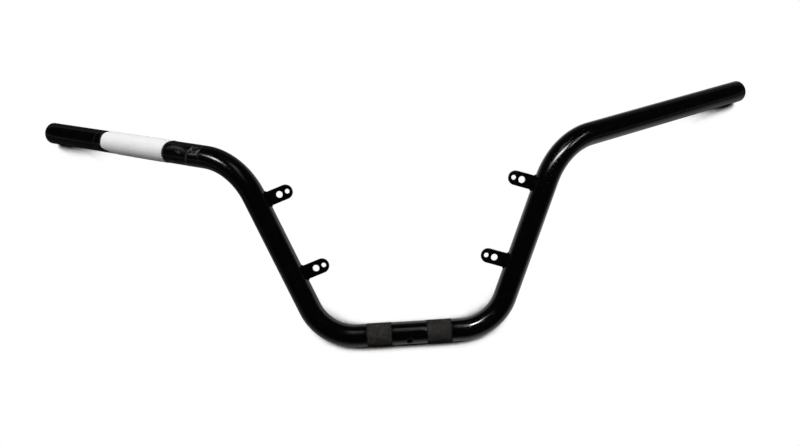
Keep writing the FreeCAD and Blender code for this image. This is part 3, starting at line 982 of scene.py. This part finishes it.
# How far from the bar the floor is shaded to the camera, and to other rays
CONTACT_REACH, BOUNCE_REACH = 0.035, 0.07
# The soft lamp: place, the point that it faces, its size and its radiance
SOFT_FILL = ((0.0, 0.85, 2.75), (0.0, 0.3, 0.0), (5.0, 1.6), 4.7)
# Gloss on the tube: the point on it, the directions from there to both ends of the lamp row, the row's width in
# radians, its distance, the reach of its light about the point, and the radiance of each lamp along the row
GLOSS_ROWS = {
    "left_bend": (
        (-0.171, 0.041, 0.089), (-0.76, 0.21, 0.61), (-0.50, 0.15, 0.85), 0.2, 0.5, 0.06, (9, 18, 46, 22, 3)
    ),
    "right_bend": (
        (0.150, 0.025, 0.088), (-0.40, 0.10, 0.91), (0.28, 0.15, 0.95), 0.2, 0.5, 0.07, (5, 9, 26, 42, 44, 30)
    ),
    "right_bend_outer": (
        (0.168, 0.037, 0.089), (0.57, 0.02, 0.82), (0.66, 0.22, 0.72), 0.12, 0.5, 0.07, (14, 6, 8)
    ),
    "lower_right": (
        (0.063, -0.117, 0.023), (-0.15, 0.29, 0.945), (-0.43, 0.25, 0.87), 0.05, 0.8, 0.05,
        (420, 300, 165, 85, 42, 18),
    ),
    "clamp": (
        (0.0, -0.117, 0.022), (0.0, 0.56, 0.83), (0.0, 0.14, 0.99), 0.24, 2.4, 2.0, (1.3, 1.1, 0.7, 0.45, 0.25)
    ),
}


def floor_material(stage):
    """Pale floor: the camera sees it white, with its shadow close to where the bar touches it; other rays see it dim.

    What the paint mirrors fades with the distance from a pool of light and close to the bar.
    """
    material, nodes, shader = new_material("floor_white")
    nodes.tree.nodes.remove(shader)
    rays = nodes.add("LightPath")
    near = nodes.add("AmbientOcclusion", {"Distance": CONTACT_REACH}, samples=16)["AO"]
    wide = nodes.add("AmbientOcclusion", {"Distance": BOUNCE_REACH}, samples=8)["AO"]
    place = nodes.add("NewGeometry")["Position"]
    away = nodes.add("VectorMath", {0: place, 1: POOL_MIDDLE}, operation="DISTANCE")["Value"]
    pool = nodes.maths("POWER", nodes.ramp(away, 0.08, 0.45, 1.0, 0.15), 1.7)
    dim = nodes.blend(nodes.times(nodes.ramp(wide, 0.4, 0.7), pool), BLACK, stage.floor)
    bounce = nodes.blend(nodes.ramp(wide, 0.4, 0.9), BLACK, stage.floor_bounce)
    plain = nodes.add("BsdfDiffuse", {"Color": nodes.blend(rays["Is Diffuse Ray"], dim, bounce)})[0]
    shaded = nodes.add("BsdfDiffuse", {"Color": stage.floor_shade})[0]
    white = nodes.add("Emission", {"Color": WHITE, "Strength": 1.0})[0]
    seen = nodes.add("MixShader", {0: nodes.ramp(near, 0.53, 0.61), 1: shaded, 2: white})[0]
    both = nodes.add("MixShader", {0: rays["Is Camera Ray"], 1: plain, 2: seen})[0]
    nodes.feed(nodes.tree.nodes["Material Output"], {"Surface": both})
    return material


def studio_world():
    """Plain world: white to the camera, and to other rays grey at the horizon and dark overhead."""
    world = bpy.data.worlds.new("studio")
    world.use_nodes = True
    nodes = Nodes(world.node_tree)
    direction = nodes.add("TexCoord")["Generated"]
    level = nodes.ramp(nodes.add("SeparateXYZ", {"Vector": direction})["Z"], 0.02, 0.14, 0.22, 0.007)
    strength = nodes.maths("MAXIMUM", level, nodes.add("LightPath")["Is Camera Ray"])
    nodes.feed(world.node_tree.nodes["Background"], {"Color": WHITE, "Strength": strength})
    return world


def area_lamp(name, place, toward, side, size, radiance, spread=math.pi, mirrored=True):
    """A rectangular lamp at a place, facing a point, with its first edge along a side direction.

    Its power is radiance times pi times its area; a narrow spread holds the same radiance on its axis.
    """
    lamp = bpy.data.lights.new(name, "AREA")
    lamp.shape = "RECTANGLE"
    lamp.size, lamp.size_y = size
    lamp.spread = spread
    half = spread / 2
    grid = 1.0 if spread >= math.pi else (math.tan(half) - half) / math.tan(half)
    lamp.energy = radiance * math.pi * size[0] * size[1] * grid
    made = bpy.data.objects.new(name, lamp)
    made.location = place
    back = (Vector(place) - Vector(toward)).normalized()
    up = back.cross(Vector(side)).normalized()
    made.rotation_mode = "QUATERNION"
    made.rotation_quaternion = Matrix((up.cross(back), up, back)).transposed().to_quaternion()
    made.visible_glossy = mirrored
    made.visible_diffuse = not mirrored
    made.visible_camera = False
    bpy.context.scene.collection.objects.link(made)


def gloss_row(name, middle, first, last, width, far, reach, levels):
    """A row of small lamps on an arc about a point of the tube, each facing it, so that it shows as one streak."""
    middle, first, last = Vector(middle), Vector(first).normalized(), Vector(last).normalized()
    size = (first.angle(last) * far / (len(levels) - 1), width * far)
    spread = 2 * math.atan(reach / far)
    for number, level in enumerate(levels):
        place = middle + far * first.slerp(last, number / (len(levels) - 1))
        area_lamp(f"gloss_{name}_{number}", place, middle, last - first, size, level, spread)


# Operators

TUBE_SHARP, TAB_SHARP, WELD_SHARP, SHEET_SHARP = 32.0, 40.0, 60.0, 50.0


class HANDLEBAR_OT_tube(bpy.types.Operator):
    """Build the bent tube with its knurled bands, drilled hole and open ends"""

    bl_idname = "handlebar.tube"
    bl_label = "Build Tube"

    def execute(self, context):
        finishes = context.scene.handlebar_finishes
        paint = gloss_paint("gloss_black_paint", finishes, TUBE_PEEL)
        materials = [paint, knurl_paint(finishes), bore_steel(finishes)]
        piece = handlebar_surface(context.scene.handlebar_tube).build("bent_tube", materials, TUBE_SHARP)
        seat(piece, "handlebar_tube")
        return {"FINISHED"}


class HANDLEBAR_OT_tabs(bpy.types.Operator):
    """Build the four strip tabs and their weld beads"""

    bl_idname = "handlebar.tabs"
    bl_label = "Build Tabs and Welds"

    def execute(self, context):
        tube, tab = context.scene.handlebar_tube, context.scene.handlebar_tabs
        paint = [gloss_paint("tab_black_paint", context.scene.handlebar_finishes, TAB_PEEL)]
        for number, (level, side) in enumerate(TAB_PLACES):
            where = tab_frame(level, side)
            piece = tab_surface(tube, tab, where).build(f"tab_{level}_{side}", paint, TAB_SHARP)
            seat(piece, f"{level}_{side}_tab")
            piece = weld_surface(tube, tab, where, number).build(f"weld_{level}_{side}", paint, WELD_SHARP)
            seat(piece, f"{level}_{side}_weld")
        return {"FINISHED"}


class HANDLEBAR_OT_slip(bpy.types.Operator):
    """Build the paper slip on the left grip"""

    bl_idname = "handlebar.slip"
    bl_label = "Build Paper Slip"

    def execute(self, context):
        scene = context.scene
        surface = slip_surface(scene.handlebar_tube, scene.handlebar_wrap)
        piece = surface.build("paper_slip", [slip_paper(scene.handlebar_finishes)], SHEET_SHARP)
        seat(piece, "paper_label")
        return {"FINISHED"}


class HANDLEBAR_OT_tapes(bpy.types.Operator):
    """Build the two bands of clear tape that hold the slip"""

    bl_idname = "handlebar.tapes"
    bl_label = "Build Clear Tapes"

    def execute(self, context):
        scene = context.scene
        tube, wrap = scene.handlebar_tube, scene.handlebar_wrap
        material = clear_tape(scene.handlebar_finishes)
        for name, start, lap, folds in (
            ("outboard", wrap.outboard_start, 2.4, OUTBOARD_FOLDS),
            ("inboard", wrap.inboard_start, -2.2, INBOARD_FOLDS),
        ):
            surface = tape_surface(tube, wrap, start, lap, folds)
            seat(surface.build(f"tape_{name}", [material], SHEET_SHARP), f"{name}_tape")
        return {"FINISHED"}


class HANDLEBAR_OT_stage(bpy.types.Operator):
    """Set up the camera, the white floor and the soft lights"""

    bl_idname = "handlebar.stage"
    bl_label = "Set Up Stage"

    def execute(self, context):
        scene, stage = context.scene, context.scene.handlebar_stage
        mesh = bpy.data.meshes.new("floor")
        spin = np.linspace(0, FULL_TURN, FLOOR_SIDES, endpoint=False)
        disc = [FLOOR_RADIUS * np.cos(spin), FLOOR_RADIUS * np.sin(spin), np.full(FLOOR_SIDES, -FLOOR_DROP)]
        mesh.from_pydata(np.stack(disc, -1).tolist(), [], [list(range(FLOOR_SIDES))])
        mesh.materials.append(floor_material(stage))
        floor = bpy.data.objects.new("floor", mesh)
        scene.collection.objects.link(floor)
        camera = bpy.data.objects.new("camera", bpy.data.cameras.new("camera"))
        camera.data.lens, camera.data.sensor_width = stage.lens, 36.0
        camera.data.clip_start, camera.data.clip_end = 0.01, 100.0
        eye = Vector(stage.eye)
        aim = (Vector(stage.target) - eye).to_track_quat("-Z", "Y")
        camera.location = eye
        camera.rotation_mode = "QUATERNION"
        camera.rotation_quaternion = aim @ Quaternion((0.0, 0.0, 1.0), stage.roll)
        scene.collection.objects.link(camera)
        scene.camera = camera
        scene.world = studio_world()
        place, toward, size, radiance = SOFT_FILL
        area_lamp("soft_fill", place, toward, ALONG_BAR, size, radiance, mirrored=False)
        for name, row in GLOSS_ROWS.items():
            gloss_row(name, *row)
        scene.view_settings.view_transform = "Standard"
        return {"FINISHED"}


class HANDLEBAR_PT_panel(bpy.types.Panel):
    """Sizes, finishes and build steps of the handlebar"""

    bl_idname = "HANDLEBAR_PT_panel"
    bl_label = "Handlebar"
    bl_space_type = "VIEW_3D"
    bl_region_type = "UI"
    bl_category = "Handlebar"

    def draw(self, context):
        for operator in OPERATORS:
            self.layout.operator(operator.bl_idname)
        for name in SETTINGS:
            box = self.layout.box()
            group = getattr(context.scene, name)
            for key in group.__annotations__:
                box.prop(group, key)


SETTINGS = {
    "handlebar_tube": TubeSizes,
    "handlebar_tabs": TabSizes,
    "handlebar_wrap": WrapSizes,
    "handlebar_finishes": Finishes,
    "handlebar_stage": StageSettings,
}
OPERATORS = (HANDLEBAR_OT_tube, HANDLEBAR_OT_tabs, HANDLEBAR_OT_slip, HANDLEBAR_OT_tapes, HANDLEBAR_OT_stage)
CLASSES = (*SETTINGS.values(), *OPERATORS, HANDLEBAR_PT_panel)


def register():
    """Registers the classes and puts the settings on the scene."""
    for item in CLASSES:
        bpy.utils.register_class(item)
    for name, group in SETTINGS.items():
        setattr(bpy.types.Scene, name, bpy.props.PointerProperty(type=group))


def unregister():
    """Takes the settings off the scene and unregisters the classes."""
    for name in SETTINGS:
        delattr(bpy.types.Scene, name)
    for item in reversed(CLASSES):
        bpy.utils.unregister_class(item)


def main():
    """Builds every piece and the stage."""
    register()
    bpy.ops.handlebar.tube()
    bpy.ops.handlebar.tabs()
    bpy.ops.handlebar.slip()
    bpy.ops.handlebar.tapes()
    bpy.ops.handlebar.stage()


if __name__ == "__main__":
    main()
